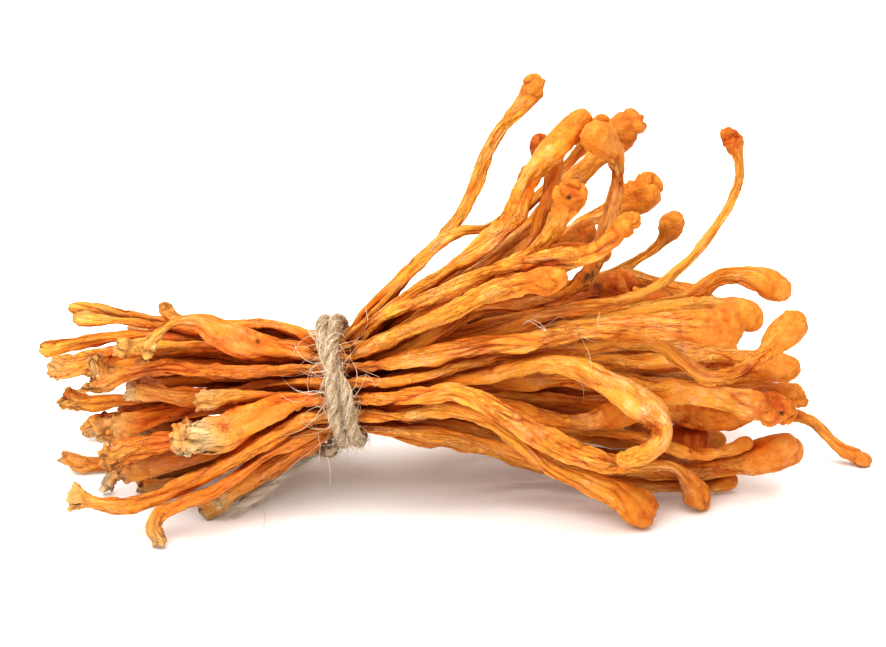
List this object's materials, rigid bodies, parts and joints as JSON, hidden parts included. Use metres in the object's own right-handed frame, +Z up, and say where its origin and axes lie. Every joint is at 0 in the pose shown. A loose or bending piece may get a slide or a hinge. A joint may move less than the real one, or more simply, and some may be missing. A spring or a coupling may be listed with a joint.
{
  "type": "tied bunch of dried cordyceps fruit bodies",
  "caption": "Slender orange dried cordyceps fruit bodies with club-shaped tips, tied round the waist with rough jute twine and lying on their side.",
  "frame": {"origin": "middle of the footprint, on the surface that the bunch lies on", "axes": "+Z up; +X along the bunch, from the cut bases to the club-shaped tips; -Y towards a viewer who sees the tips on the right"},
  "size_m": [0.1072, 0.0454, 0.0554],
  "materials": {
    "dried_fungus": "leathery, finely wrinkled, matt with a dull sheen",
    "jute_twine": "rough twisted plant fibre, matt"
  },
  "bodies": {
    "root": {"fruit_body_01": "dried_fungus", "fruit_body_02": "dried_fungus", "fruit_body_03": "dried_fungus", "fruit_body_04": "dried_fungus", "fruit_body_05": "dried_fungus", "fruit_body_06": "dried_fungus", "fruit_body_07": "dried_fungus", "fruit_body_08": "dried_fungus", "fruit_body_09": "dried_fungus", "fruit_body_10": "dried_fungus", "fruit_body_11": "dried_fungus", "fruit_body_12": "dried_fungus", "fruit_body_13": "dried_fungus", "fruit_body_14": "dried_fungus", "fruit_body_15": "dried_fungus", "fruit_body_16": "dried_fungus", "fruit_body_17": "dried_fungus", "fruit_body_18": "dried_fungus", "fruit_body_19": "dried_fungus", "fruit_body_20": "dried_fungus", "fruit_body_21": "dried_fungus", "fruit_body_22": "dried_fungus", "fruit_body_23": "dried_fungus", "fruit_body_24": "dried_fungus", "fruit_body_25": "dried_fungus", "fruit_body_26": "dried_fungus", "fruit_body_27": "dried_fungus", "fruit_body_28": "dried_fungus", "fruit_body_29": "dried_fungus", "fruit_body_30": "dried_fungus", "fruit_body_31": "dried_fungus", "fruit_body_32": "dried_fungus", "fruit_body_33": "dried_fungus", "fruit_body_34": "dried_fungus", "fruit_body_35": "dried_fungus", "fruit_body_36": "dried_fungus", "fruit_body_37": "dried_fungus", "fruit_body_38": "dried_fungus", "fruit_body_39": "dried_fungus", "fruit_body_40": "dried_fungus", "fruit_body_41": "dried_fungus", "fruit_body_42": "dried_fungus", "fruit_body_43": "dried_fungus", "fruit_body_44": "dried_fungus", "fruit_body_45": "dried_fungus", "fruit_body_46": "dried_fungus", "fruit_body_47": "dried_fungus", "fruit_body_48": "dried_fungus", "fruit_body_49": "dried_fungus", "fruit_body_50": "dried_fungus", "fruit_body_51": "dried_fungus", "fruit_body_52": "dried_fungus", "twine_tie": "jute_twine"}
  },
  "joints": []
}
